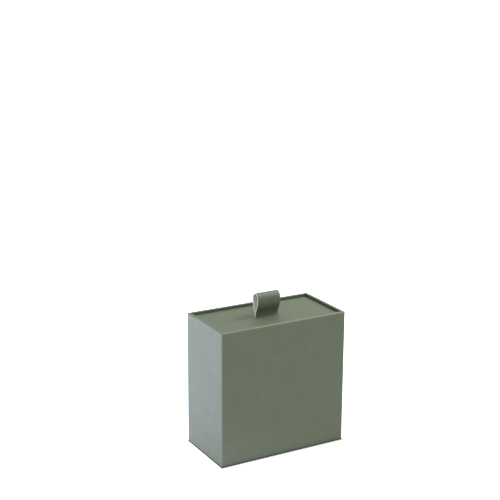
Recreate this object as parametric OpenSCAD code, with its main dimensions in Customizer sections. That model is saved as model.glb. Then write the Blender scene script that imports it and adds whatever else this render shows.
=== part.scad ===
// Sliding drawer gift box: a paper-covered greyboard sleeve, closed at its lower end, and a tray
// that slides up out of its mouth by a folded strap. The box stands on its closed end. The origin
// is the middle of the standing face, X runs along the wide face and Y from the front to the back.

/* [Sleeve] */
// Outer width of the sleeve
sleeve_w = 120; // [80:1:200]
// Outer depth of the sleeve
sleeve_d = 62; // [50:1:100]
// Outer height of the sleeve, from the standing face to the rim of its mouth
sleeve_h = 118; // [80:1:340]
// How far the sheet on the closed end stays back from the sleeve's edges
end_sheet_margin = 2; // [1:0.5:5]

/* [Board and paper] */
// Thickness of the sleeve's greyboard
sleeve_board_t = 2; // [1.5:0.1:3]
// Thickness of the drawer's greyboard
drawer_board_t = 2; // [1.5:0.1:3]
// Thickness of the covering paper
cover_t = 0.2; // [0.15:0.05:0.35]
// Thickness of the lining paper
lining_t = 0.15; // [0.1:0.05:0.3]
// Thickness of the corner tape, which is also the glue line between board and cover
tape_t = 0.1; // [0.08:0.02:0.2]
// How far a corner tape reaches along each of its two faces
tape_reach = 12; // [6:1:18]
// Outer radius of a board corner
fold_r = 0.4; // [0.2:0.1:1.2]
// How far the sleeve's cover is turned in at the mouth and under the closed end
sleeve_turn_in = 15; // [8:1:20]
// How far the drawer's cover is turned in over the rim of the tray
drawer_turn_in = 10; // [6:1:12]

/* [Drawer] */
// Running gap between the drawer and the sleeve on each side
side_gap = 0.5; // [0.3:0.1:1.2]
// How far the drawer's end panel lies below the sleeve's rim
panel_recess = 2.4; // [1:0.1:8]
// Gap between the closed drawer and its seat
seat_gap = 0.1; // [0.05:0.05:0.5]

/* [Pull strap] */
// Width of the strap
strap_w = 22; // [12:1:34]
// Thickness of the strap
strap_t = 1; // [0.6:0.1:1.5]
// Height of the loop above the drawer's end panel
loop_h = 20.8; // [16:0.2:32]
// Depth of the loop at its widest place
loop_d = 9.2; // [7:0.2:14]
// How much higher than round the top of the loop is drawn
loop_peak = 1.2; // [0.4:0.2:3]
// Radius with which the two faces of the strap part above the panel
foot_flare_r = 10; // [5:1:14]
// Gap between the strap and the slot round it
slot_gap = 0.3; // [0.1:0.1:0.8]
// Gap under the round foot of the loop, where it bends
bend_gap = 0.1; // [0.05:0.05:0.3]
// How far the cover patch reaches past the glued tails
patch_lap = 2; // [1:0.5:4]
// Space between the cover patch and the turned-in edge
patch_clear = 2; // [0.5:0.5:4]
// Room between the tails and the raised middle of the patch
patch_room = 0.2; // [0.1:0.1:0.6]

/* [Hidden] */
$fn = 96;
// Past both faces of what a cut goes through
past = 1;

cover_green = [0.42, 0.45, 0.38];
board_grey = [0.56, 0.54, 0.50];
tape_tan = [0.72, 0.66, 0.54];
lining_ivory = [0.86, 0.84, 0.78];
strap_green = [0.36, 0.39, 0.34];

// Sleeve, from the outside inwards. Its cover is turned in over the lining at the mouth.
sleeve_skin = cover_t + tape_t;
sleeve_inset = sleeve_skin + sleeve_board_t;
mouth_inset = sleeve_inset + lining_t + cover_t;
end_low = 2 * cover_t;
end_high = end_low + sleeve_board_t;
sleeve_top = sleeve_h - cover_t;
cover_r = fold_r + tape_t + cover_t;

// Drawer: its outline is measured in X and Z, and its open side faces the front, at -Y.
drawer_w = sleeve_w - 2 * (mouth_inset + side_gap);
drawer_d = sleeve_d - 2 * (mouth_inset + side_gap);
drawer_low = end_high + lining_t + seat_gap;
drawer_high = sleeve_h - panel_recess;
drawer_skin = cover_t + tape_t;
drawer_inset = drawer_skin + drawer_board_t;
rim_y = -drawer_d / 2;
back_y = drawer_d / 2;
wall_front = rim_y + cover_t;
wall_back = back_y - drawer_skin;
floor_y = wall_back - drawer_board_t;

// Strap: its tails lie on the lined inner face of the end panel, under the patch.
glue_face = drawer_high - drawer_inset - lining_t;
tail_l = back_y - drawer_turn_in - patch_clear - patch_lap;
bend_z = drawer_high + strap_t + bend_gap;

// Loop outline: each flank leaves the foot upright on a flare, swells on an arc, and a smaller
// arc closes the top. Both arcs of a flank turn through the same angle.
loop_half = loop_d / 2;
loop_top = drawer_high + loop_h;
wide_z = loop_top - loop_half - loop_peak;
flank_angle = 2 * atan2(loop_half - strap_t, wide_z - bend_z);
flank_r = (wide_z - bend_z) / sin(flank_angle) - foot_flare_r;
flank_x = flank_r - loop_half;
crown_rise = loop_top - wide_z;
crown_r = (flank_r ^ 2 - flank_x ^ 2 - crown_rise ^ 2) / (2 * (flank_r - crown_rise));
crown_z = loop_top - crown_r;
crown_angle = atan2(crown_z - wide_z, flank_x);

// Rectangle about the origin with round corners
module round_rect(w, d, r) {
    square([w - 2 * r, d], center = true);
    square([w, d - 2 * r], center = true);
    for (x = [-1, 1], y = [-1, 1])
        translate([x * (w / 2 - r), y * (d / 2 - r)]) circle(r);
}

// Sleeve outline in X and Y, set back from the outer faces by an inset
module sleeve_outline(inset, r) {
    round_rect(sleeve_w - 2 * inset, sleeve_d - 2 * inset, r);
}

module sleeve_hollow(inset) {
    square([sleeve_w - 2 * inset, sleeve_d - 2 * inset], center = true);
}

// Drawer outline in X and Z, set back from the outer faces by an inset
module drawer_outline(inset, r) {
    translate([0, (drawer_low + drawer_high) / 2])
        round_rect(drawer_w - 2 * inset, drawer_high - drawer_low - 2 * inset, r);
}

module drawer_hollow(inset) {
    translate([0, (drawer_low + drawer_high) / 2])
        square([drawer_w - 2 * inset, drawer_high - drawer_low - 2 * inset], center = true);
}

// Outline in X and Y raised from one height to another
module up_z(low, high) {
    translate([0, 0, low]) linear_extrude(high - low) children();
}

// Outline in X and Z carried back from one depth to another
module along_y(front, back) {
    translate([0, back, 0]) rotate([90, 0, 0]) linear_extrude(back - front) children();
}

// Outline in Y and Z carried across the box, centred on the middle
module across_x(width) {
    rotate([90, 0, 90]) linear_extrude(width, center = true) children();
}

// Greyboard on the front (side -1) or the back (side 1), as wide as the sleeve
module sleeve_wide_board(side) {
    color(board_grey) up_z(end_low, sleeve_top) intersection() {
        sleeve_outline(sleeve_skin, fold_r);
        translate([-sleeve_w / 2, side > 0 ? sleeve_d / 2 - sleeve_inset : -sleeve_d / 2])
            square([sleeve_w, sleeve_inset]);
    }
}

// Greyboard on the left (side -1) or the right (side 1), between the wide boards
module sleeve_narrow_board(side) {
    outer = sleeve_w / 2 - sleeve_skin;
    clear_d = sleeve_d - 2 * sleeve_inset;
    color(board_grey) up_z(end_low, sleeve_top)
        translate([side > 0 ? outer - sleeve_board_t : -outer, -clear_d / 2])
            square([sleeve_board_t, clear_d]);
}

module sleeve_front_board() { sleeve_wide_board(-1); }
module sleeve_back_board() { sleeve_wide_board(1); }
module sleeve_left_board() { sleeve_narrow_board(-1); }
module sleeve_right_board() { sleeve_narrow_board(1); }

// Board that closes the lower end, inside the four walls
module sleeve_end_board() {
    color(board_grey) up_z(end_low, end_high) sleeve_hollow(sleeve_inset);
}

// Four paper tapes that hold the sleeve's standing corners
module sleeve_corner_tape() {
    color(tape_tan) up_z(end_low, sleeve_top) intersection() {
        difference() {
            sleeve_outline(cover_t, fold_r + tape_t);
            sleeve_outline(sleeve_skin, fold_r);
        }
        for (x = [-1, 1], y = [-1, 1])
            translate([x * sleeve_w / 2, y * sleeve_d / 2]) square(2 * tape_reach, center = true);
    }
}

// Covering paper: round the four walls, in over the rim of the mouth, and under the closed end
module sleeve_cover() {
    color(cover_green) {
        up_z(cover_t, sleeve_h) difference() {
            sleeve_outline(0, cover_r);
            sleeve_outline(cover_t, cover_r - cover_t);
        }
        up_z(sleeve_top, sleeve_h) difference() {
            sleeve_outline(0, cover_r);
            sleeve_hollow(mouth_inset);
        }
        up_z(sleeve_h - sleeve_turn_in, sleeve_h) difference() {
            sleeve_hollow(mouth_inset - cover_t);
            sleeve_hollow(mouth_inset);
        }
        up_z(cover_t, end_low) difference() {
            sleeve_outline(0, cover_r);
            sleeve_hollow(sleeve_turn_in);
        }
    }
}

// Sheet that hides the turned-under paper; the box stands on it
module sleeve_end_sheet() {
    color(cover_green) up_z(0, cover_t) sleeve_outline(end_sheet_margin, cover_r);
}

// Lining on the inner faces of the four walls
module sleeve_lining() {
    color(lining_ivory) up_z(end_high + lining_t, sleeve_top) difference() {
        sleeve_hollow(sleeve_inset);
        sleeve_hollow(sleeve_inset + lining_t);
    }
}

// Lining on the inside of the closed end, which the drawer comes to rest on
module sleeve_end_lining() {
    color(lining_ivory) up_z(end_high, end_high + lining_t) sleeve_hollow(sleeve_inset);
}

// Greyboard floor of the tray, behind the goods and between its four walls
module drawer_floor_board() {
    color(board_grey) along_y(floor_y, wall_back) drawer_hollow(drawer_inset);
}

// Greyboard wall on the left (side -1) or the right (side 1), between the end walls
module drawer_side_board(side) {
    outer = drawer_w / 2 - drawer_skin;
    low = drawer_low + drawer_inset;
    color(board_grey) along_y(wall_front, wall_back)
        translate([side > 0 ? outer - drawer_board_t : -outer, low])
            square([drawer_board_t, drawer_high - drawer_inset - low]);
}

module drawer_left_board() { drawer_side_board(-1); }
module drawer_right_board() { drawer_side_board(1); }

// Greyboard wall across the tray, from one height to another
module drawer_end_wall(low, high) {
    along_y(wall_front, wall_back) intersection() {
        drawer_outline(drawer_skin, fold_r);
        translate([-drawer_w / 2, low]) square([drawer_w, high - low]);
    }
}

module drawer_lower_board() {
    color(board_grey) drawer_end_wall(drawer_low, drawer_low + drawer_inset);
}

// End panel that closes the sleeve's mouth, slotted for the strap
module drawer_panel_board() {
    color(board_grey) difference() {
        drawer_end_wall(drawer_high - drawer_inset, drawer_high);
        strap_slot();
    }
}

// Cut for the two thicknesses of strap, through everything on the end panel
module strap_slot() {
    up_z(glue_face - past, drawer_high + past)
        square([strap_w + 2 * slot_gap, 2 * (strap_t + slot_gap)], center = true);
}

// Four paper tapes that hold the corners between the tray's walls
module drawer_corner_tape() {
    color(tape_tan) along_y(wall_front, wall_back) intersection() {
        difference() {
            drawer_outline(cover_t, fold_r + tape_t);
            drawer_outline(drawer_skin, fold_r);
        }
        for (x = [-1, 1], z = [drawer_low, drawer_high])
            translate([x * drawer_w / 2, z]) square(2 * tape_reach, center = true);
    }
}

// Covering paper: over the back and the four walls, and in over the rim of the tray
module drawer_cover() {
    color(cover_green) difference() {
        union() {
            along_y(rim_y, back_y) difference() {
                drawer_outline(0, cover_r);
                drawer_outline(cover_t, cover_r - cover_t);
            }
            along_y(back_y - cover_t, back_y) drawer_outline(0, cover_r);
            along_y(rim_y, wall_front) difference() {
                drawer_outline(0, cover_r);
                drawer_hollow(drawer_inset + lining_t + cover_t);
            }
            along_y(rim_y, rim_y + drawer_turn_in) difference() {
                drawer_hollow(drawer_inset + lining_t);
                drawer_hollow(drawer_inset + lining_t + cover_t);
            }
        }
        strap_slot();
    }
}

// Lining on the inner faces of the tray's walls, slotted for the strap
module drawer_wall_lining() {
    color(lining_ivory) difference() {
        along_y(wall_front, floor_y) difference() {
            drawer_hollow(drawer_inset);
            drawer_hollow(drawer_inset + lining_t);
        }
        strap_slot();
    }
}

// Lining sheet on the tray's floor
module drawer_floor_lining() {
    color(lining_ivory) along_y(floor_y - lining_t, floor_y) drawer_hollow(drawer_inset + lining_t);
}

// One tail in Y and Z: up through the slot, round a bend and along the panel's inner face
module tail_outline() {
    translate([0, glue_face]) square([strap_t, drawer_high - glue_face]);
    translate([strap_t, glue_face - strap_t]) square([tail_l - strap_t, strap_t]);
    intersection() {
        translate([strap_t, glue_face]) circle(strap_t);
        translate([0, glue_face - strap_t]) square(strap_t);
    }
}

// The strap's two ends, glued down one to the front and one to the back
module strap_tails() {
    color(strap_green) across_x(strap_w) {
        tail_outline();
        mirror([1, 0]) tail_outline();
    }
}

// Paper patch over the tails: a flat border glued to the lining round a raised middle
module strap_patch() {
    room_w = strap_w + 2 * patch_room;
    room_d = 2 * (tail_l + patch_room);
    color(lining_ivory) difference() {
        union() {
            up_z(glue_face - lining_t, glue_face)
                square([strap_w + 2 * patch_lap, 2 * (tail_l + patch_lap)], center = true);
            up_z(glue_face - strap_t - lining_t, glue_face)
                square([room_w + 2 * lining_t, room_d + 2 * lining_t], center = true);
        }
        up_z(glue_face - strap_t, glue_face + past) square([room_w, room_d], center = true);
    }
}

// Outline of the loop in Y and Z, drawn in by a shrink that keeps its arcs parallel
module loop_outline(shrink) {
    flare_top = bend_z + (foot_flare_r + shrink) * sin(flank_angle);
    crown_low = wide_z + (flank_r - shrink) * sin(crown_angle);
    difference() {
        translate([-loop_half, bend_z]) square([loop_d, flare_top - bend_z]);
        for (side = [-1, 1])
            translate([side * (strap_t + foot_flare_r), bend_z]) circle(foot_flare_r + shrink);
    }
    intersection() {
        translate([-flank_x, wide_z]) circle(flank_r - shrink);
        translate([flank_x, wide_z]) circle(flank_r - shrink);
        translate([-loop_half, flare_top]) square([loop_d, crown_low - flare_top]);
    }
    translate([0, crown_z]) circle(crown_r - shrink);
}

// Loop of strap that the fingers pull, with a round foot that it bends on
module strap_loop() {
    color(strap_green) across_x(strap_w) {
        difference() {
            loop_outline(0);
            loop_outline(strap_t);
        }
        translate([0, bend_z]) circle(strap_t);
    }
}

sleeve_front_board();
sleeve_back_board();
sleeve_left_board();
sleeve_right_board();
sleeve_end_board();
sleeve_corner_tape();
sleeve_cover();
sleeve_end_sheet();
sleeve_lining();
sleeve_end_lining();
drawer_floor_board();
drawer_left_board();
drawer_right_board();
drawer_lower_board();
drawer_panel_board();
drawer_corner_tape();
drawer_cover();
drawer_wall_lining();
drawer_floor_lining();
strap_tails();
strap_patch();
strap_loop();
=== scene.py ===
# Paper-covered gift box that stands on its closed end, and its tray with a loop of strap to pull it up by
import bmesh
import bpy
import numpy as np
from mathutils import Matrix, Vector


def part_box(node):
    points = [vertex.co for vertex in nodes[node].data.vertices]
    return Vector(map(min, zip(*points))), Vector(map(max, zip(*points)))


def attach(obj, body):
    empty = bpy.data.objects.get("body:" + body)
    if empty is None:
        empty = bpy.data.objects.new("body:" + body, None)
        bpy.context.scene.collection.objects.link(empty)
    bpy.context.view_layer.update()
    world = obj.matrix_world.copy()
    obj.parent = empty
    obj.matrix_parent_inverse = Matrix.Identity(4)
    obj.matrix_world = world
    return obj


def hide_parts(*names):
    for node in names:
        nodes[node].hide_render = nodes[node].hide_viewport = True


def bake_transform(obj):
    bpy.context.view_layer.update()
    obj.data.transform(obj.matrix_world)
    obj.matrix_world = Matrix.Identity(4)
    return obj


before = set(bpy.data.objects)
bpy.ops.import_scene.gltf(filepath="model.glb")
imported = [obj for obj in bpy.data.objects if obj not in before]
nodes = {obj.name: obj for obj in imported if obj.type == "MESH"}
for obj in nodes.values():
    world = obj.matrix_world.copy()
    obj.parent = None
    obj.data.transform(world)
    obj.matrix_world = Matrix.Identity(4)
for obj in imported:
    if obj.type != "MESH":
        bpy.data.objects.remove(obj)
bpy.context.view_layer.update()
mm = 0.001
print("frame loaded, nodes:", len(nodes))


def corners(node):
    # Lowest and highest corner of a solid, as arrays
    low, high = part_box(node)
    return np.array(low), np.array(high)


sleeveLow, sleeveHigh = corners("sleeve_cover")
drawerLow, drawerHigh = corners("drawer_cover")
paperThick = corners("sleeve_end_sheet")[1][2]
liningThick = corners("sleeve_end_lining")[1][2] - corners("sleeve_end_lining")[0][2]
mouthInset = corners("sleeve_lining")[0][0] - sleeveLow[0] + liningThick + paperThick
trayInset = corners("drawer_wall_lining")[0][0] - drawerLow[0] + liningThick + paperThick
strapLow, strapHigh = corners("strap_loop")
tailLow, tailHigh = corners("strap_tails")
patchLow, patchHigh = corners("strap_patch")
strapThick = patchHigh[2] - tailLow[2]      # the tails lie flat between the lining and the patch
gluedFace = patchHigh[2]


# Shapes as arrays

def smooth(t):
    # 3 t^2 - 2 t^3, with t held between 0 and 1
    t = np.clip(t, 0, 1)
    return t * t * (3 - 2 * t)


def between(value, low, high, ease):
    # smooth() of the distance to both ends: 0 at the ends, and 1 from one ease inwards
    return smooth((value - low) / ease) * smooth((high - value) / ease)


def hill(distance, reach):
    # exp(-(d / reach)^2)
    return np.exp(-(distance / reach) ** 2)


def spread(length, count, near):
    # Even places from end to end of a length, and more at the given distances from both ends; they are
    # rounded, so that places which fall together count once
    places = np.concatenate([np.linspace(0, length, count), near, length - near])
    return np.unique(np.round(places, 7))


def arcRows(inset, height, radius, start, end, steps=5):
    # (inset + r cos a, height + r sin a), a going from start to end in degrees
    a = np.radians(np.linspace(start, end, steps + 1))
    return np.stack([inset + radius * np.cos(a), height + radius * np.sin(a)], -1)


cornerSteps = 6                                    # parts of a quarter circle at a ring's corner
besideCorner = np.array([0.5, 1.2, 2.5]) * mm      # where a ring has closer points beside its corners


def ringRows(halfA, halfB, radius, stopsA, stopsB, arcSteps=cornerSteps):
    # A round-cornered rectangle for each row, from four quarter circles of the row's radius about
    # (+-(halfA - r), +-(halfB - r)), whose straights are split at the given shares of their length
    halfA, halfB, radius = (np.asarray(v, float)[:, None] for v in (halfA, halfB, radius))
    straightA, straightB = halfA - radius, halfB - radius
    signs = [(1, -1), (1, 1), (-1, 1), (-1, -1)]
    parts = []
    for k, (signA, signB) in enumerate(signs):
        a = (k - 1) * np.pi / 2 + np.linspace(0, np.pi / 2, arcSteps + 1)[None, :]
        arc = np.stack([signA * straightA + radius * np.cos(a), signB * straightB + radius * np.sin(a)], -1)
        beforeA, beforeB = signs[k - 1]
        start = np.stack([beforeA * straightA + radius * np.cos(a[:, :1]),
                          beforeB * straightB + radius * np.sin(a[:, :1])], -1)
        share = np.asarray(stopsA if k % 2 == 0 else stopsB)[None, :, None]
        parts += [start + (arc[:, :1] - start) * share, arc]
    return np.concatenate(parts, 1)


def sideStops(straight, count, more=()):
    # Shares of a side at which a ring has points: even ones, those beside its corners and any more that
    # are given. A side is 2 straight long.
    even = spread(2 * straight, count, besideCorner)[1:-1] / (2 * straight)
    return np.unique(np.concatenate([even, more]))


def diagonalColumns(stopsA, stopsB, arcSteps=cornerSteps):
    # Places in such a ring of the points on its four diagonals
    lengths = [len(stopsA), len(stopsB)] * 2
    ends = np.cumsum([n + arcSteps + 1 for n in lengths])
    return ends - 1 - arcSteps // 2


def numbered(shape):
    # Grid of point numbers, row by row
    return np.arange(np.prod(shape)).reshape(shape)


def ringFaces(index, joined):
    # Quads between neighbours on a grid of closed rows; the last row meets the first where it is joined
    right, below = np.roll(index, -1, 1), np.roll(index, -1, 0)
    quads = np.stack([index, right, np.roll(right, -1, 0), below], -1)
    return quads if joined else quads[:-1]


def gridFaces(index):
    # Quads between neighbours on an open grid
    return np.stack([index[:-1, :-1], index[1:, :-1], index[1:, 1:], index[:-1, 1:]], -1).reshape(-1, 4)


def borderLoop(index):
    # Point numbers once round the edge of a grid
    return np.concatenate([index[0, :-1], index[:-1, -1], index[-1, :0:-1], index[:0:-1, 0]])


def rimFaces(first, second):
    # Quads between two loops of as many points
    return np.stack([first, np.roll(first, -1), np.roll(second, -1), second], -1)


def addObject(name, data):
    # An object at the origin, in the scene
    made = bpy.data.objects.new(name, data)
    bpy.context.scene.collection.objects.link(made)
    return made


def makePiece(name, points, faces, finishes, finishIndex=None, sharpAngle=40):
    # Mesh with its faces turned outwards: for a closed shell the signed volume has to be above 0
    mesh = bpy.data.meshes.new(name)
    mesh.from_pydata(points.reshape(-1, 3).tolist(), [], faces)
    if finishIndex is not None:
        mesh.polygons.foreach_set("material_index", np.asarray(finishIndex, np.int32))
    shell = bmesh.new()
    shell.from_mesh(mesh)
    bmesh.ops.recalc_face_normals(shell, faces=shell.faces)
    if shell.calc_volume(signed=True) < 0:
        bmesh.ops.reverse_faces(shell, faces=shell.faces)
    shell.to_mesh(mesh)
    shell.free()
    mesh.polygons.foreach_set("use_smooth", np.ones(len(mesh.polygons), bool))
    mesh.set_sharp_from_angle(angle=np.radians(sharpAngle))
    for finish in finishes:
        mesh.materials.append(finish)
    return addObject(name, mesh)


def pointValue(piece, name, values):
    # One number for each point, which a finish reads by its name
    attribute = piece.data.attributes.new(name, "FLOAT", "POINT")
    attribute.data.foreach_set("value", np.asarray(values, np.float32).ravel())


def edgeWearAndHighlight(points, low, high, reach):
    # hill() of the distance to the nearest edge of a box: both of the two smallest distances to its faces
    toFace = np.sort(np.minimum(np.abs(points - low), np.abs(points - high)), -1)
    return hill(np.hypot(toFace[..., 0], toFace[..., 1]), reach)


handWaves = [(1, 0.37, 0), (0.61, -1.13, 1.7), (1.47, 0.83, 4.1)]      # p, q and r of each


def unevenness(a, b, length):
    # Mean of the waves sin(2 pi (p a + q b) / length + r), for paper that is glued by hand
    k = 2 * np.pi / length
    return sum(np.sin(k * (p * a + q * b) + r) for p, q, r in handWaves) / len(handWaves)


# Finishes

def linear(r, g, b):
    # Screen bytes to the linear colour that a socket holds
    c = np.array([r, g, b]) / 255
    return tuple(np.where(c <= 0.04045, c / 12.92, ((c + 0.055) / 1.055) ** 2.4)) + (1.0,)


def grey(value):
    # The same value in all three colours
    return (value, value, value, 1.0)


def startFinish(name, roughness, specular):
    # A principled material, with its tree and the object's own coordinates
    material = bpy.data.materials.new(name)
    material.use_nodes = True
    tree = material.node_tree
    shader = tree.nodes["Principled BSDF"]
    shader.inputs["Roughness"].default_value = roughness
    shader.inputs["Specular IOR Level"].default_value = specular
    return material, tree, tree.nodes.new("ShaderNodeTexCoord").outputs["Object"]


def addFilm(tree, look):
    # A clear film over the shade
    shader = tree.nodes["Principled BSDF"]
    shader.inputs["Coat Weight"].default_value = look["film"]
    shader.inputs["Coat Roughness"].default_value = look["filmRoughness"]


def feed(tree, socket, value):
    # Joins an output to a socket, or writes a plain value into it
    if isinstance(value, bpy.types.NodeSocket):
        tree.links.new(value, socket)
    else:
        socket.default_value = value


def pointFac(tree, name):
    # The number that pointValue() gave each point
    made = tree.nodes.new("ShaderNodeAttribute")
    made.attribute_name = name
    return made.outputs["Fac"]


def stretched(tree, source, scale):
    # Coordinates times a scale along each axis
    made = tree.nodes.new("ShaderNodeMapping")
    made.inputs["Scale"].default_value = scale
    feed(tree, made.inputs["Vector"], source)
    return made.outputs["Vector"]


def noise(tree, source, size, detail=3.0, rough=0.5):
    # Noise whose blotches are about as wide as the size
    made = tree.nodes.new("ShaderNodeTexNoise")
    made.inputs["Scale"].default_value = 1 / size
    made.inputs["Detail"].default_value = detail
    made.inputs["Roughness"].default_value = rough
    feed(tree, made.inputs["Vector"], source)
    return made.outputs["Fac"]


def ramp(tree, source, *stops):
    # Straight steps between the stops' colours, each at its place between 0 and 1
    made = tree.nodes.new("ShaderNodeValToRGB")
    elements = made.color_ramp.elements
    for k, (place, colour) in enumerate(stops):
        element = elements[k] if k < 2 else elements.new(place)
        element.position = place
        element.color = colour
    feed(tree, made.inputs["Fac"], source)
    return made.outputs["Color"]


def mixed(tree, share, under, over, mode="MIX"):
    # under (1 - share) + over share, or another blend of the two
    made = tree.nodes.new("ShaderNodeMix")
    made.data_type = "RGBA"
    made.blend_type = mode
    feed(tree, made.inputs["Factor"], share)
    feed(tree, made.inputs[6], under)      # the colour sockets, which share their names with others
    feed(tree, made.inputs[7], over)
    return made.outputs[2]


def span(tree, source, low, high, fromLow=0.0, fromHigh=1.0):
    # Goes straight from low to high while the source goes from fromLow to fromHigh, and is held beyond
    made = tree.nodes.new("ShaderNodeMapRange")
    made.inputs["From Min"].default_value = fromLow
    made.inputs["From Max"].default_value = fromHigh
    made.inputs["To Min"].default_value = low
    made.inputs["To Max"].default_value = high
    feed(tree, made.inputs["Value"], source)
    return made.outputs["Result"]


usualLow, usualHigh = 0.3, 0.7      # most of a noise's values lie between these


def twoTone(tree, source, look, low=usualLow, high=usualHigh):
    # From the look's deep colour to its shade, while the source goes from low to high
    return ramp(tree, source, (low, look["deep"]), (high, look["shade"]))


def flecked(tree, shade, source, look):
    # The shade times a grey that goes with the source from the look's dark tone to its pale one
    low, high = look["fleckSpan"]
    dark, pale = look["fleckTones"]
    tone = ramp(tree, source, (low, grey(dark)), (high, grey(pale)))
    return mixed(tree, look["fleckShare"], shade, tone, "MULTIPLY")


def bump(tree, height, distance, under=None):
    # Leans the normal by the slope of the height times the distance
    made = tree.nodes.new("ShaderNodeBump")
    made.inputs["Distance"].default_value = distance
    feed(tree, made.inputs["Height"], height)
    if under is not None:
        feed(tree, made.inputs["Normal"], under)
    return made.outputs["Normal"]


def endFinish(material, tree, colour, normal, roughness=None):
    # The finished colour, relief and roughness go into the shader
    shader = tree.nodes["Principled BSDF"]
    feed(tree, shader.inputs["Base Color"], colour)
    feed(tree, shader.inputs["Normal"], normal)
    if roughness is not None:
        feed(tree, shader.inputs["Roughness"], roughness)
    return material


coverLook = {
    "shade": linear(74, 84, 62),        # green-grey of the paper, under its grey sheen
    "deep": linear(72, 81, 59),         # its darker clouds
    "wearAndHighlight": linear(109, 116, 101),      # paler where a fold or an edge rubs, and a painted highlight where it catches the light
    "crease": linear(51, 57, 41),       # where two turned-in ends meet
    "marked": 0.8,                      # how far both of these cover the shade
    "clouds": 14 * mm,
    "fibres": 0.9 * mm,
    "fibreRun": (1, 1, 0.35),           # fibres are longest along Z
    "fleckTones": (0.91, 1.07),
    "fleckSpan": (0.25, 0.75),
    "fleckShare": 0.8,
    "grain": 0.22 * mm,
    "grainDepth": 0.012 * mm,
    "swell": 6 * mm,
    "swellDepth": 0.04 * mm,
    "glossy": 0.52,                     # roughness in the smooth clouds and in the dry ones
    "dry": 0.55,
    "film": 0.15,                       # matt film on the paper
    "filmRoughness": 0.45,
}


def coverPaper():
    # Matt coated paper: slow clouds, short fibres, a fine grain, pale folds and edges that are wear and a
    # painted highlight, and dark creases
    look = coverLook
    material, tree, place = startFinish("coverPaper", roughness=0.55, specular=0.5)
    addFilm(tree, look)
    clouds = noise(tree, place, look["clouds"], detail=4, rough=0.6)
    fibres = noise(tree, stretched(tree, place, look["fibreRun"]), look["fibres"], detail=2)
    grain = noise(tree, place, look["grain"], detail=2, rough=0.6)
    shade = flecked(tree, twoTone(tree, clouds, look), fibres, look)
    # Pale at folds and edges, wear and a painted highlight, and dark at creases
    shade = mixed(tree, span(tree, pointFac(tree, "pale"), 0.0, look["marked"]), shade, look["wearAndHighlight"])
    shade = mixed(tree, span(tree, pointFac(tree, "crease"), 0.0, look["marked"]), shade, look["crease"])
    swell = bump(tree, noise(tree, place, look["swell"], detail=2), look["swellDepth"])
    return endFinish(material, tree, shade, bump(tree, grain, look["grainDepth"], swell),
                     span(tree, clouds, look["dry"], look["glossy"], usualLow, usualHigh))


edgeLook = {
    "shade": linear(196, 199, 186),
    "deep": linear(168, 172, 158),
    "fibres": 0.15 * mm,
    "fibreDepth": 0.03 * mm,
}


def paperEdge():
    # Cut edge of the covering paper: its pale core in torn fibres
    look = edgeLook
    material, tree, place = startFinish("paperEdge", roughness=0.9, specular=0.2)
    fibres = noise(tree, place, look["fibres"], detail=3, rough=0.7)
    return endFinish(material, tree, twoTone(tree, fibres, look), bump(tree, fibres, look["fibreDepth"]))


liningLook = {
    "shade": linear(229, 224, 211),
    "deep": linear(224, 219, 205),
    "clouds": 18 * mm,
    "cloudSpan": (0.25, 0.75),
    "fibres": 0.5 * mm,
    "fibreRun": (0.4, 1, 1),            # fibres are longest along X
    "fibreDepth": 0.02 * mm,
    "fleckTones": (0.93, 1.04),
    "fleckSpan": (0.3, 0.7),
    "fleckShare": 0.6,
}


def liningPaper():
    # Uncoated ivory paper: soft clouds, loose fibres and a dry surface
    look = liningLook
    material, tree, place = startFinish("liningPaper", roughness=0.88, specular=0.25)
    clouds = noise(tree, place, look["clouds"], detail=3)
    fibres = noise(tree, stretched(tree, place, look["fibreRun"]), look["fibres"], detail=3, rough=0.7)
    shade = flecked(tree, twoTone(tree, clouds, look, *look["cloudSpan"]), fibres, look)
    return endFinish(material, tree, shade, bump(tree, fibres, look["fibreDepth"]))


boardLook = {
    "shade": linear(160, 154, 143),
    "deep": linear(138, 132, 122),
    "fleck": linear(186, 180, 168),
    "pulp": 2.5 * mm,
    "pulpDepth": 0.05 * mm,
    "flecks": 0.45 * mm,
    "fleckFrom": 0.62,                  # higher for fewer flecks
    "fleckFull": 0.72,
}


def greyboard():
    # Pressed waste paper: grey-brown pulp with pale flecks
    look = boardLook
    material, tree, place = startFinish("greyboard", roughness=0.92, specular=0.2)
    pulp = noise(tree, place, look["pulp"], detail=5, rough=0.65)
    flecks = noise(tree, place, look["flecks"], detail=2)
    share = ramp(tree, flecks, (look["fleckFrom"], grey(0)), (look["fleckFull"], grey(1)))
    shade = mixed(tree, share, twoTone(tree, pulp, look), look["fleck"])
    return endFinish(material, tree, shade, bump(tree, pulp, look["pulpDepth"]))


tapeLook = {
    "shade": linear(202, 181, 146),
    "deep": linear(176, 152, 116),
    "fibres": 0.6 * mm,
    "fibreRun": (1, 1, 0.15),           # fibres are longest along Z
    "fibreDepth": 0.02 * mm,
}


def kraftTape():
    # Gummed kraft paper: long fibres on tan
    look = tapeLook
    material, tree, place = startFinish("kraftTape", roughness=0.7, specular=0.3)
    fibres = noise(tree, stretched(tree, place, look["fibreRun"]), look["fibres"], detail=4, rough=0.7)
    return endFinish(material, tree, twoTone(tree, fibres, look), bump(tree, fibres, look["fibreDepth"]))


strapLook = {
    "shade": linear(94, 100, 86),
    "deep": linear(85, 90, 77),
    "wearAndHighlight": linear(112, 118, 103),
    "marked": 0.5,
    "lines": 46,                        # fine lines side by side on the strap's width
    "lineChange": 1.5,                  # how often each changes along one strap width
    "lineDepth": 0.035 * mm,
    "pebble": 0.3 * mm,
    "pebbleDepth": 0.02 * mm,
    "fleckTones": (0.9, 1.08),
    "fleckSpan": (0.3, 0.7),
    "fleckShare": 0.6,
    "glossy": 0.55,                     # roughness in the hollows of the grain and on top of it
    "dry": 0.68,
    "film": 0.06,
    "filmRoughness": 0.5,
}


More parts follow.
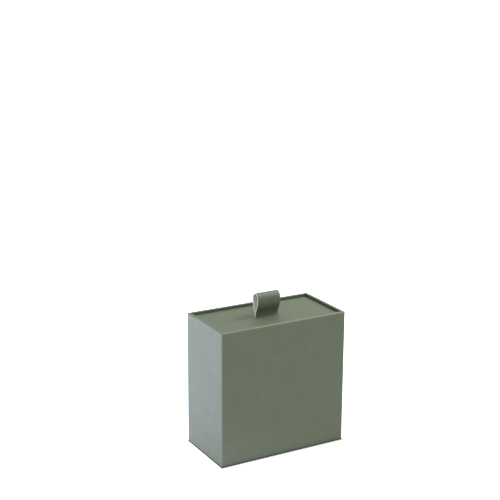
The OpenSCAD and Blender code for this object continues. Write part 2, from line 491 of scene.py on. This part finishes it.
def strapFace():
    # Coated strap: fine lines along its length over a pebbled grain, rubbed pale beside its edges
    look = strapLook
    material, tree, place = startFinish("strapFace", roughness=0.6, specular=0.3)
    addFilm(tree, look)
    run = tree.nodes.new("ShaderNodeUVMap")
    run.uv_map = "run"
    lined = stretched(tree, run.outputs["UV"], (look["lines"], look["lineChange"], 1))
    lines = noise(tree, lined, 1.0, detail=2)
    pebble = noise(tree, place, look["pebble"], detail=3, rough=0.6)
    shade = flecked(tree, twoTone(tree, lines, look), pebble, look)
    shade = mixed(tree, span(tree, pointFac(tree, "pale"), 0.0, look["marked"]), shade, look["wearAndHighlight"])
    grooves = bump(tree, lines, look["lineDepth"])
    return endFinish(material, tree, shade, bump(tree, pebble, look["pebbleDepth"], grooves),
                     span(tree, pebble, look["glossy"], look["dry"], usualLow, usualHigh))


backingLook = {
    "shade": linear(206, 210, 197),
    "deep": linear(190, 194, 180),
    "nap": 0.35 * mm,
    "napDepth": 0.04 * mm,
}


def strapLining():
    # Napped backing on the inside of the loop
    look = backingLook
    material, tree, place = startFinish("strapLining", roughness=0.88, specular=0.2)
    nap = noise(tree, place, look["nap"], detail=4, rough=0.7)
    return endFinish(material, tree, twoTone(tree, nap, look), bump(tree, nap, look["napDepth"]))


coreLook = {
    "shade": linear(236, 239, 228),
    "deep": linear(222, 226, 213),
    "fibres": 0.25 * mm,
    "fibreDepth": 0.03 * mm,
    "coatFrom": 0.88,                   # share of the thickness at which the coat starts
    "coatFull": 0.95,
}


def strapCore():
    # Raw cut edge: pale pressed fibre between the thin coat and the backing
    look = coreLook
    material, tree, place = startFinish("strapCore", roughness=0.8, specular=0.25)
    fibres = noise(tree, place, look["fibres"], detail=3, rough=0.7)
    coat = ramp(tree, pointFac(tree, "layer"), (look["coatFrom"], grey(0)), (look["coatFull"], grey(1)))
    shade = mixed(tree, coat, twoTone(tree, fibres, look), strapLook["deep"])
    return endFinish(material, tree, shade, bump(tree, fibres, look["fibreDepth"]))


cover, edge, lining, board, tape = coverPaper(), paperEdge(), liningPaper(), greyboard(), kraftTape()
print("finishes made")


foldWearAndHighlight = {
    "mouthReach": 0.6 * mm,   # pale paper beside the fold into a mouth: wear, and a painted highlight on the fold
    "mouthShare": 0.7,
    "seamReach": 0.12 * mm,   # and beside the cut edge of an outer layer
    "seamShare": 0.5,
}
lapShare = 0.8                # rise over a hidden flap, as a share of the paper's thickness
flatFrom = 0.9                # share of a fold's radius from which a row counts as past that fold
slotGap = 0.3 * mm            # from the strap to each side of its slot


def lapRise(across, half, shape):
    # Rise of an outer layer over a flap that reaches in from the corner at half: an ease up, and a step
    # down where the layer is cut off just before the corner
    start = half - shape["lap"] - shape["lapEase"]
    up = lapShare * paperThick * smooth((across - start) / shape["lapEase"])
    return up * (across < half - shape["seamBack"])


def lapStops(half, straight, shape):
    # Shares of a straight, counted from its far end, that hold both edges of such a lap
    seam, flap, ease = half - shape["seamBack"], half - shape["lap"], shape["lapEase"]
    places = np.array([seam, seam - shape["seamStep"], flap, flap - ease / 2, flap - ease])
    shares = (straight - places) / (2 * straight)
    return np.concatenate([shares, 1 - shares])


def flatRim(inset, shape, mouthEdge):
    # Whether a row is on the flat of the rim, between its outer fold and the fold into the mouth
    return (inset > shape["foldR"] * flatFrom) & (inset < mouthEdge - shape["mouthR"] / 2)


def paleFolds(wearAndHighlight, toMouth, onSeam, toSeam):
    # The palest of the edges' wear and painted highlight and the hill() beside the mouth's fold and beside
    # the seam
    mouth = foldWearAndHighlight["mouthShare"] * hill(toMouth, foldWearAndHighlight["mouthReach"])[:, None]
    seam = foldWearAndHighlight["seamShare"] * onSeam * hill(toSeam, foldWearAndHighlight["seamReach"])
    return np.maximum(np.maximum(wearAndHighlight, mouth), seam)


sleeveShape = {
    "foldR": 0.6 * mm,        # outer fold at the rim and at the foot
    "mouthR": 0.35 * mm,      # fold into the mouth
    "cornerR": 0.7 * mm,      # standing corners
    "insideR": 0.25 * mm,     # standing corners seen from inside
    "turnIn": 15 * mm,
    "lap": 12 * mm,           # width of the hidden flap under the seam
    "lapEase": 1.5 * mm,
    "lapEnds": 1.5 * mm,      # from the rim and the foot, within which the lap flattens
    "seamBack": 0.8 * mm,     # from the corner to the cut edge of the outer layer
    "seamStep": 0.08 * mm,
    "creaseDepth": 0.07 * mm,
    "wave": 0.05 * mm,        # height of the glued paper's waves
    "waveLength": 70 * mm,
    "waveEase": 8 * mm,       # from an edge, within which the waves die down
    "paleEdgeWidth": 0.8 * mm,         # width of the pale edges: wear and painted highlight
    "stepsUp": 30,
    "stepsWide": 26,
    "stepsDeep": 15,
    "besideFolds": np.array([0.4, 1.0, 2.2]) * mm,
    "footStops": (1.0, 0.7, 0.4, 0.15),      # rows on the turned-in strips, as shares of their depth
    "mouthStops": (0.06, 0.2, 0.5, 1.0),
}


def sleeveCover():
    # The sheet's section, foot and wall and rim and turned-in strip outside, the same back along its
    # hidden face, carried round the sleeve: half sides less the inset, corner radius less the inset
    shape = sleeveShape
    low, high = sleeveLow[2], sleeveHigh[2]
    fold, mouth, turnIn = shape["foldR"], shape["mouthR"], shape["turnIn"]
    rise = low + fold + spread(high - low - 2 * fold, shape["stepsUp"], shape["besideFolds"])[1:-1]

    # Inset and height of the rows of one face, which lies the shift below the sheet's outer face
    def face(shift):
        return np.concatenate([
            [[share * turnIn, low + shift] for share in shape["footStops"]],
            arcRows(fold, low + fold, fold - shift, 270, 180),
            np.stack([np.full_like(rise, shift), rise], -1),
            arcRows(fold, high - fold, fold - shift, 180, 90),
            [[mouthInset / 2, high - shift]],
            arcRows(mouthInset - mouth, high - mouth, mouth - shift, 90, 0),
            [[mouthInset - shift, high - share * turnIn] for share in shape["mouthStops"]],
        ])

    outside, inside = face(0.0), face(paperThick)[::-1]
    inset, height = np.concatenate([outside, inside]).T
    wide, deep = (sleeveHigh - sleeveLow)[:2] / 2
    cornerR = np.maximum(shape["cornerR"] - inset, shape["insideR"])
    straightA, straightB = wide - shape["cornerR"], deep - shape["cornerR"]
    stopsA = sideStops(straightA, shape["stepsWide"], lapStops(wide, straightA, shape))
    stopsB = sideStops(straightB, shape["stepsDeep"])
    ring = ringRows(wide - inset, deep - inset, cornerR, stopsA, stopsB)
    x, y = ring[..., 0], ring[..., 1]
    z = np.broadcast_to(height[:, None], x.shape)
    points = np.stack([x, y, z], -1)
    # The outer face waves a little, and rises over the hidden flap at its seam
    outer = inset[:, None] < fold
    calm = outer * between(z, low, high, shape["waveEase"])
    ends = outer * between(z, low, high, shape["lapEnds"])
    onBack, onWide, onNarrow = y > deep - fold, np.abs(y) > deep - fold, np.abs(x) > wide - fold
    flatX = smooth((wide - np.abs(x)) / shape["waveEase"])
    flatY = smooth((deep - np.abs(y)) / shape["waveEase"])
    wave, length = shape["wave"], shape["waveLength"]
    points[..., 1] += onBack * ends * lapRise(x, wide, shape)
    points[..., 1] += np.sign(y) * onWide * flatX * calm * wave * unevenness(x, z, length)
    points[..., 0] += np.sign(x) * onNarrow * flatY * calm * wave * unevenness(y, z, length)
    # Creases where the turned-over ends meet, on the rim and under the foot
    onRim = (height > high - mouth) & flatRim(inset, shape, mouthInset)
    underFoot = (height < low + paperThick / 2) & (inset > fold * flatFrom)
    crease = np.zeros(x.shape)
    crease[np.ix_(onRim | underFoot, diagonalColumns(stopsA, stopsB))] = 1
    points[..., 2] -= crease * onRim[:, None] * shape["creaseDepth"]
    points[..., 2] += crease * underFoot[:, None] * shape["creaseDepth"]
    # Both ends of the section are the paper's cut edge
    quads = ringFaces(numbered(x.shape), joined=True)
    cut = np.zeros(quads.shape[:2], int)
    cut[[len(outside) - 1, -1]] = 1
    piece = makePiece("sleeveCover", points, quads.reshape(-1, 4).tolist(), [cover, edge], cut.ravel())
    # Pale edges and folds: wear, and a painted highlight where the rounded edges catch the light
    wearAndHighlight = edgeWearAndHighlight(points, sleeveLow, sleeveHigh, shape["paleEdgeWidth"]) * outer
    toMouth = np.hypot(inset - mouthInset, height - high)
    toSeam = x - (wide - shape["seamBack"])
    pointValue(piece, "pale", paleFolds(wearAndHighlight, toMouth, onBack * ends, toSeam))
    pointValue(piece, "crease", crease)
    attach(piece, "sleeve")
    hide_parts("sleeve_cover")


sleeveCover()
print("sleeve covered")


drawerShape = {
    "foldR": 0.55 * mm,
    "mouthR": 0.35 * mm,
    "cornerR": 0.7 * mm,
    "insideR": 0.25 * mm,
    "turnIn": 10 * mm,
    "lap": 12 * mm,
    "lapEase": 1.5 * mm,
    "lapEnds": 1.5 * mm,
    "seamBack": 0.8 * mm,
    "seamStep": 0.08 * mm,
    "slotEase": 0.12 * mm,    # width of the step down into the strap's slot
    "slotDeep": 2.2 * mm,     # how far the paper goes down there
    "slotCalm": 4 * mm,       # from the slot, within which the waves die down
    "creaseDepth": 0.06 * mm,
    "wave": 0.035 * mm,
    "waveLength": 60 * mm,
    "waveEase": 5 * mm,
    "paleEdgeWidth": 0.7 * mm,
    "paleEdgeIn": 3 * mm,         # how far the pale edges go in over the back
    "stepsWide": 24,
    "stepsTall": 22,
    "stepsBack": 18,
    "besideFolds": np.array([0.4, 1.2]) * mm,
    "rimStops": (1.0, 0.6, 0.3, 0.1),
    "backRings": np.array([1, 2.5, 6, 12, 20, 29, 38, 46, 52]) * mm,      # in from the back's edge
}


def slotRim(index, inHole):
    # Faces that join the hole's edge on the outer face to the same place on the hidden face, which lies
    # as many rows from the other end of the grid
    hole = np.ix_(np.flatnonzero(inHole.any(1)), np.flatnonzero(inHole.any(0)))
    return rimFaces(borderLoop(index[hole]), borderLoop(index[::-1][hole])).tolist()


def drawerCover():
    # The same kind of sheet round the tray: its section runs back along Y and closes over the back in
    # shrinking rings, and its four sides lie in X and Z. The strap's slot is pressed through it.
    shape = drawerShape
    front, back = drawerLow[1], drawerHigh[1]
    fold, mouth, thick = shape["foldR"], shape["mouthR"], paperThick
    slotX, slotY = tailHigh[0] + slotGap, strapThick + slotGap
    # Beside the slot's outline, both faces have rows and columns above and below their step into it
    slotSteps = np.array([-thick, shape["slotEase"] - thick, 0, shape["slotEase"]])
    slotRows = np.concatenate([slotY + slotSteps, -slotY - slotSteps])
    even = front + fold + spread(back - front - 2 * fold, shape["stepsBack"], shape["besideFolds"])[1:-1]
    run = np.unique(np.concatenate([even, slotRows]))
    inward = shape["backRings"]

    # Inset and depth of the rows of one face, which lies the shift below the sheet's outer face
    def face(shift):
        return np.concatenate([
            [[trayInset - shift, front + share * shape["turnIn"]] for share in shape["rimStops"]],
            arcRows(trayInset - mouth, front + mouth, mouth - shift, 0, -90),
            [[trayInset / 2, front + shift]],
            arcRows(fold, front + fold, fold - shift, 270, 180),
            np.stack([np.full_like(run, shift), run], -1),
            arcRows(fold, back - fold, fold - shift, 180, 90),
            np.stack([inward, np.full_like(inward, back - shift)], -1),
        ])

    inside, outside = face(thick)[::-1], face(0.0)
    inset, depth = np.concatenate([inside, outside]).T
    isOutside = np.arange(len(inset))[:, None] >= len(inside)
    wide, tall = (drawerHigh - drawerLow)[[0, 2]] / 2
    middle = (drawerHigh[2] + drawerLow[2]) / 2
    cornerR = np.maximum(shape["cornerR"] - inset, shape["insideR"])
    straightA, straightB = wide - shape["cornerR"], tall - shape["cornerR"]
    slotColumns = (straightA - (slotX + slotSteps)) / (2 * straightA)
    stopsA = sideStops(straightA, shape["stepsWide"], np.concatenate([slotColumns, 1 - slotColumns]))
    stopsB = sideStops(straightB, shape["stepsTall"], lapStops(tall, straightB, shape))
    ring = ringRows(wide - inset, tall - inset, cornerR, stopsA, stopsB)
    x, offset = ring[..., 0], ring[..., 1]
    y = np.broadcast_to(depth[:, None], x.shape)
    z = offset + middle
    points = np.stack([x, y, z], -1)
    # Walls and back wave a little, and the side walls rise over the hidden flaps at their corners
    onWall = inset[:, None] < fold
    calm = onWall * between(y, front, back, shape["waveEase"])
    ends = onWall * between(y, front, back, shape["lapEnds"])
    onEnd, onSide = np.abs(offset) > tall - fold, np.abs(x) > wide - fold
    onPanel = onWall & (offset > tall - fold)
    clear = smooth(np.maximum(np.abs(x) - slotX, np.abs(y) - slotY) / shape["slotCalm"])
    flatX = smooth((wide - np.abs(x)) / shape["waveEase"])
    flatZ = smooth((tall - np.abs(offset)) / shape["waveEase"])
    wave, length = shape["wave"], shape["waveLength"]
    points[..., 2] += np.sign(offset) * onEnd * flatX * clear * calm * wave * unevenness(x, y, length)
    points[..., 0] += np.sign(x) * onSide * flatZ * calm * wave * unevenness(y, z, length)
    points[..., 0] += np.sign(x) * onSide * ends * lapRise(np.abs(offset), tall, shape)
    onBack = (depth > back - fold / 2)[:, None] & ~onWall
    points[..., 1] += onBack * flatX * flatZ * wave * unevenness(x, z, length)

    # Points of the panel whose |x| and |y| are below the slot's half sides, grown by a length
    def withinSlot(grown):
        return onPanel & (np.abs(x) < slotX + grown) & (np.abs(y) < slotY + grown)

    # The slot: each face goes down inside its own outline, and the faces in the smaller one are left out
    halfEase = shape["slotEase"] / 2
    points[..., 2] -= withinSlot(np.where(isOutside, -thick, 0) + halfEase) * shape["slotDeep"]
    inHole = withinSlot(halfEase - thick)
    # Creases where the turned-over ends meet, on the rim
    onRim = (depth < front + mouth / 2) & flatRim(inset, shape, trayInset)
    crease = np.zeros(x.shape)
    crease[np.ix_(onRim, diagonalColumns(stopsA, stopsB))] = 1
    points[..., 1] += crease * shape["creaseDepth"]
    # The turned-in end of the section and the slot's rim are the paper's cut edge
    index = numbered(x.shape)
    quads = ringFaces(index, joined=False)
    cut = np.zeros(quads.shape[:2], int)
    cut[len(inside) - 1] = 1
    kept = ~inHole.ravel()[quads].all(-1)
    rim = slotRim(index, inHole & isOutside)
    faces = quads[kept].tolist() + [index[0].tolist(), index[-1].tolist()] + rim
    cut = cut[kept].tolist() + [0, 0] + [1] * len(rim)
    piece = makePiece("drawerCover", points, faces, [cover, edge], cut)
    # Pale edges and folds: wear, and a painted highlight where the rounded edges catch the light
    wearAndHighlight = edgeWearAndHighlight(points, drawerLow, drawerHigh, shape["paleEdgeWidth"]) * (inset[:, None] < shape["paleEdgeIn"])
    toMouth = np.hypot(inset - trayInset, depth - front)
    toSeam = np.abs(offset) - (tall - shape["seamBack"])
    pointValue(piece, "pale", paleFolds(wearAndHighlight, toMouth, onSide * ends, toSeam))
    pointValue(piece, "crease", crease)
    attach(piece, "drawer")
    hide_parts("drawer_cover")


drawerCover()
print("drawer covered")


strapShape = {
    "edgeR": 0.12 * mm,
    "edgeSteps": 3,
    "step": 0.45 * mm,        # between rows along the strap's curves
    "straightSteps": 12,      # rows on a tail, and in the slot
    "wideSteps": 16,
    "thinStops": (0.33, 0.67),
    "flareR": 10 * mm,        # curve with which the two layers part above the panel
    "peak": 1.2 * mm,         # how much higher than round the top is
    "apart": 0.015 * mm,      # from the middle plane to each layer, so their faces never coincide
    "paleEdgeWidth": 0.5 * mm,
    "sharp": 50,              # degrees, from which an edge stays sharp
}


def strapPath():
    # The strap's middle in Y and Z from one tail to the other: along the panel, round a bend into the
    # slot, up it, out on a flare, over the flank's arc and the crown's smaller arc, and down the same way
    half, thin = strapHigh[1], strapThick / 2
    bendZ = strapLow[2] + strapThick
    wideZ = strapHigh[2] - half - strapShape["peak"]
    turn = 2 * np.arctan2(half - strapThick, wideZ - bendZ)
    flareR = strapShape["flareR"]
    flankR = (wideZ - bendZ) / np.sin(turn) - flareR
    flankY = flankR - half
    crownRise = strapHigh[2] - wideZ
    crownR = (flankR ** 2 - flankY ** 2 - crownRise ** 2) / (2 * (flankR - crownRise))
    crownZ = strapHigh[2] - crownR
    crownTurn = np.arctan2(crownZ - wideZ, flankY)

    # (centreY + r cos a, centreZ + r sin a), a going from start to end in four steps or more
    def arc(centreY, centreZ, radius, start, end):
        steps = max(4, round(abs(end - start) * radius / strapShape["step"]))
        a = np.linspace(start, end, steps + 1)
        return np.stack([centreY + radius * np.cos(a), centreZ + radius * np.sin(a)], -1)

    bendY, bendLow = strapThick + slotGap, gluedFace + slotGap
    tail = np.linspace(tailHigh[1], bendY, strapShape["straightSteps"])
    rise = np.linspace(bendLow, bendZ, strapShape["straightSteps"])
    side = np.concatenate([
        np.stack([tail, np.full_like(tail, gluedFace - thin)], -1)[:-1],
        arc(bendY, bendLow, thin + slotGap, 1.5 * np.pi, np.pi),
        np.stack([np.full_like(rise, thin), rise], -1)[1:-1],
        arc(strapThick + flareR, bendZ, flareR + thin, np.pi, np.pi - turn)[:-1],
        arc(-flankY, wideZ, flankR - thin, -turn, crownTurn)[:-1],
        arc(0.0, crownZ, crownR - thin, crownTurn, np.pi / 2),
    ])
    # The layers come apart by smooth() of the way down from the loop's widest place to its foot
    side[:, 0] += strapShape["apart"] * smooth((wideZ - side[:, 1]) / (wideZ - bendZ))
    return np.concatenate([side * (-1, 1), side[:-1][::-1]])


def pullStrap():
    # A thin round-cornered rectangle, the strap's section, carried along the path on its normal
    shape = strapShape
    path = strapPath()
    run = np.concatenate([[0], np.cumsum(np.linalg.norm(np.diff(path, axis=0), axis=1))])
    heading = np.gradient(path, run, axis=0)
    heading /= np.linalg.norm(heading, axis=1, keepdims=True)
    normal = np.stack([-heading[:, 1], heading[:, 0]], -1)
    halfWide, rows = strapHigh[0], len(path)
    sizes = [np.full(rows, size) for size in (halfWide, strapThick / 2, shape["edgeR"])]
    wideStops = np.linspace(0, 1, shape["wideSteps"])[1:-1]
    ring = ringRows(*sizes, wideStops, shape["thinStops"], shape["edgeSteps"])
    across, up = ring[..., 0], ring[..., 1]
    points = np.stack([across, path[:, :1] + up * normal[:, :1], path[:, 1:] + up * normal[:, 1:]], -1)
    # A face is on the coated side, on the lining or on the cut edge, as its middle is in the section
    after = np.roll(up[0], -1)
    level = np.abs(up[0] - after) < 0.001 * mm
    sideOf = np.where(level & (up[0] + after > 0), 0, np.where(level, 1, 2))
    finishIndex = np.concatenate([np.tile(sideOf, rows - 1), [2, 2]])
    index = numbered(across.shape)
    quads = ringFaces(index, joined=False)
    faces = quads.reshape(-1, 4).tolist() + [index[0].tolist(), index[-1].tolist()]
    finishes = [strapFace(), strapLining(), strapCore()]
    piece = makePiece("pullStrap", points, faces, finishes, finishIndex, shape["sharp"])
    # Flat coordinates for the lines: across the strap and along it, both in strap widths
    mesh = piece.data
    corner = np.zeros(len(mesh.loops), np.int32)
    mesh.loops.foreach_get("vertex_index", corner)
    along = np.broadcast_to(run[:, None], across.shape)
    flat = np.stack([across.ravel() / (2 * halfWide) + 0.5, along.ravel() / (2 * halfWide)], -1)
    layer = mesh.uv_layers.new(name="run")
    layer.data.foreach_set("uv", flat[corner].astype(np.float32).ravel())
    pointValue(piece, "pale", hill(halfWide - np.abs(across), shape["paleEdgeWidth"]))
    pointValue(piece, "layer", up / strapThick + 0.5)
    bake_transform(piece)
    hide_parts("strap_loop", "strap_tails")


pullStrap()
print("strap made")


patchShape = {
    "ramp": 1.3 * mm,         # width of the slope from the glued border up to the tails
    "step": 0.5 * mm,
}


def strapPatch():
    # A sheet on the lining whose height is smooth() of the distance in from the tails' edge, so it is
    # draped over them, and the same sheet one thickness further in
    half = (patchHigh - patchLow)[:2] / 2
    steps = [int(round(2 * h / patchShape["step"])) + 1 for h in half]
    x, y = np.meshgrid(*(np.linspace(-h, h, n) for h, n in zip(half, steps)), indexing="ij")
    outOfTails = np.maximum(np.abs(x) - tailHigh[0], np.abs(y) - tailHigh[1]) / patchShape["ramp"]
    drop = strapThick * (1 - smooth(outOfTails))
    sheets = [np.stack([x, y, gluedFace - drop - shift], -1) for shift in (0.0, liningThick)]
    index = numbered(x.shape)
    cells, border = gridFaces(index), borderLoop(index.T)
    faces = np.concatenate([cells, cells + x.size, rimFaces(border, border + x.size)]).tolist()
    piece = makePiece("strapPatch", np.stack(sheets), faces, [lining])
    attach(piece, "drawer")
    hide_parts("strap_patch")


strapPatch()
print("patch made")


def dress(names, finish):
    # The solids that stay take the finish on their own mesh
    for name in names:
        nodes[name].data.materials.clear()
        nodes[name].data.materials.append(finish)


dress([n for n in nodes if n.endswith("_board")], board)
dress([n for n in nodes if n.endswith("_tape")], tape)
dress([n for n in nodes if n.endswith("_lining")], lining)
dress(["sleeve_end_sheet"], cover)
print("solids dressed")


studio = {
    "floorHalf": 15.0,
    "floorSteps": 9,
    "shade": grey(0.31),                # the floor's own shade and its clouds
    "deep": grey(0.29),
    "clouds": 0.4,
    "cloudDepth": 0.1 * mm,
    "glow": grey(0.9),                  # light from below the floor, in front of the box
    "backGlow": (2.8, 3.0, 3.72, 1),    # and behind it at the left, where the left face mirrors the floor
    "glowTurn": 30,                     # degrees from +Y towards -X, the way the glow rises
    "glowStart": -0.07,                 # where the rise starts on that way, and how long it is
    "glowRise": 0.51,
    "glowKnee": (0.27, 0.6),            # this share of the way gives this share of the rise
    # Painted shadow: a dark line on the floor at the foot, where its glow is put out; its width on the
    # box's low and high side, in X and then in Y
    "paintedShadowWidths": ((1.3 * mm, 0.9 * mm), (3.9 * mm, 0.9 * mm)),
    "paintedShadowColour": grey(0.02),
    "skyLow": grey(0.09),               # at the horizon
    "skyHigh": grey(1.89),              # overhead
    "backdrop": grey(1.0),              # what the camera sees behind the floor
    "overheadPlace": (0.75, -0.1, 0.78),
    "overheadSize": (0.5, 0.5),
    "overheadTint": (1.0, 1.0, 1.0),
    "overheadPower": 10.3,              # in watts
}


def floorGlow(tree, place):
    # Rises from glow to backGlow along one heading, in two straight stretches that meet at the knee
    heading = tree.nodes.new("ShaderNodeMapping")
    heading.vector_type = "TEXTURE"
    turn = np.radians(studio["glowTurn"])
    upHeading = Vector((-np.sin(turn), np.cos(turn), 0))
    heading.inputs["Location"].default_value = upHeading * studio["glowStart"]
    heading.inputs["Rotation"].default_value = (0, 0, np.pi / 2 + turn)
    heading.inputs["Scale"].default_value = (studio["glowRise"],) * 3
    feed(tree, heading.inputs["Vector"], place)
    rise = tree.nodes.new("ShaderNodeTexGradient")
    rise.gradient_type = "LINEAR"
    feed(tree, rise.inputs["Vector"], heading.outputs["Vector"])
    kneePlace, kneeShare = studio["glowKnee"]
    share = ramp(tree, rise.outputs["Fac"], (0.0, grey(0)), (kneePlace, grey(kneeShare)), (1.0, grey(1)))
    return mixed(tree, share, studio["glow"], studio["backGlow"])


def clearOfPaintedShadow(tree, place):
    # The largest of four straight rises, from 0 at each side of the sleeve to 1 at the painted shadow's
    # width
    parts = tree.nodes.new("ShaderNodeSeparateXYZ")
    feed(tree, parts.inputs["Vector"], place)
    clear = grey(0)
    for k, (lowWidth, highWidth) in enumerate(studio["paintedShadowWidths"]):
        below = span(tree, parts.outputs[k], 1.0, 0.0, sleeveLow[k] - lowWidth, sleeveLow[k])
        above = span(tree, parts.outputs[k], 0.0, 1.0, sleeveHigh[k], sleeveHigh[k] + highWidth)
        clear = mixed(tree, 1.0, mixed(tree, 1.0, clear, below, "LIGHTEN"), above, "LIGHTEN")
    return clear


def studioFloor():
    # A flat grid far larger than any view, as a white sheet that is lit from below, with a painted shadow
    # at the foot
    steps = np.linspace(-studio["floorHalf"], studio["floorHalf"], studio["floorSteps"])
    x, y = np.meshgrid(steps, steps, indexing="ij")
    faces = gridFaces(numbered(x.shape)).tolist()
    mesh = bpy.data.meshes.new("studioFloor")
    mesh.from_pydata(np.stack([x, y, 0 * x], -1).reshape(-1, 3).tolist(), [], faces)
    material, tree, place = startFinish("floorSheet", roughness=0.9, specular=0.1)
    shader = tree.nodes["Principled BSDF"]
    # Painted shadow: no glow and a near-black shade on the floor next to the foot
    clear = clearOfPaintedShadow(tree, place)
    feed(tree, shader.inputs["Emission Color"], mixed(tree, clear, grey(0), floorGlow(tree, place)))
    shader.inputs["Emission Strength"].default_value = 1
    clouds = noise(tree, place, studio["clouds"])
    shade = mixed(tree, clear, studio["paintedShadowColour"], twoTone(tree, clouds, studio))
    mesh.materials.append(endFinish(material, tree, shade, bump(tree, clouds, studio["cloudDepth"])))
    piece = addObject("studioFloor", mesh)


def softLight(name):
    # A wide lamp that faces the middle of the box
    light = bpy.data.lights.new(name, "AREA")
    light.shape = "RECTANGLE"
    light.size, light.size_y = studio[name + "Size"]
    light.energy = studio[name + "Power"]
    light.color = studio[name + "Tint"]
    lamp = addObject(name, light)
    place = Vector(studio[name + "Place"])
    aim = Vector((0, 0, sleeveHigh[2] / 2)) - place
    lamp.matrix_world = Matrix.Translation(place) @ aim.to_track_quat("-Z", "Y").to_matrix().to_4x4()
    lamp.visible_camera = False


def whiteSky():
    # A sky whose brightness goes up with the sine of the angle above the horizon; where the camera sees it
    # directly it is the plain backdrop
    world = bpy.data.worlds.new("sky")
    world.use_nodes = True
    tree = world.node_tree
    heading = tree.nodes.new("ShaderNodeSeparateXYZ")
    feed(tree, heading.inputs["Vector"], tree.nodes.new("ShaderNodeTexCoord").outputs["Generated"])
    glow = mixed(tree, heading.outputs["Z"], studio["skyLow"], studio["skyHigh"])
    seen = tree.nodes.new("ShaderNodeLightPath").outputs["Is Camera Ray"]
    feed(tree, tree.nodes["Background"].inputs["Color"], mixed(tree, seen, glow, studio["backdrop"]))
    bpy.context.scene.world = world


studioFloor()
whiteSky()
softLight("overhead")
bpy.context.scene.view_settings.view_transform = "Standard"


shot = {
    "place": (-0.4784, -0.8118, 0.4331),
    "heading": 29.645,        # degrees from +Y towards +X
    "pitch": 15.446,          # degrees below level
    "roll": 0.347,
    "focalShare": 2.3282,     # focal length over the frame's width
    "sensor": 36,
    "clip": (0.01, 60),
}


def camera():
    # Starts out facing straight down, and turns by the heading about Z, up by the pitch's complement
    # about its own X and by the roll about its own axis
    data = bpy.data.cameras.new("camera")
    data.sensor_width = shot["sensor"]
    data.lens = shot["sensor"] * shot["focalShare"]
    data.clip_start, data.clip_end = shot["clip"]
    eye = addObject("camera", data)
    turns = [(-shot["heading"], "Z"), (90 - shot["pitch"], "X"), (shot["roll"], "Z")]
    eye.matrix_world = Matrix.Translation(shot["place"])
    for angle, axis in turns:
        eye.matrix_world = eye.matrix_world @ Matrix.Rotation(np.radians(angle), 4, axis)
    bpy.context.scene.camera = eye


camera()
print("studio set")
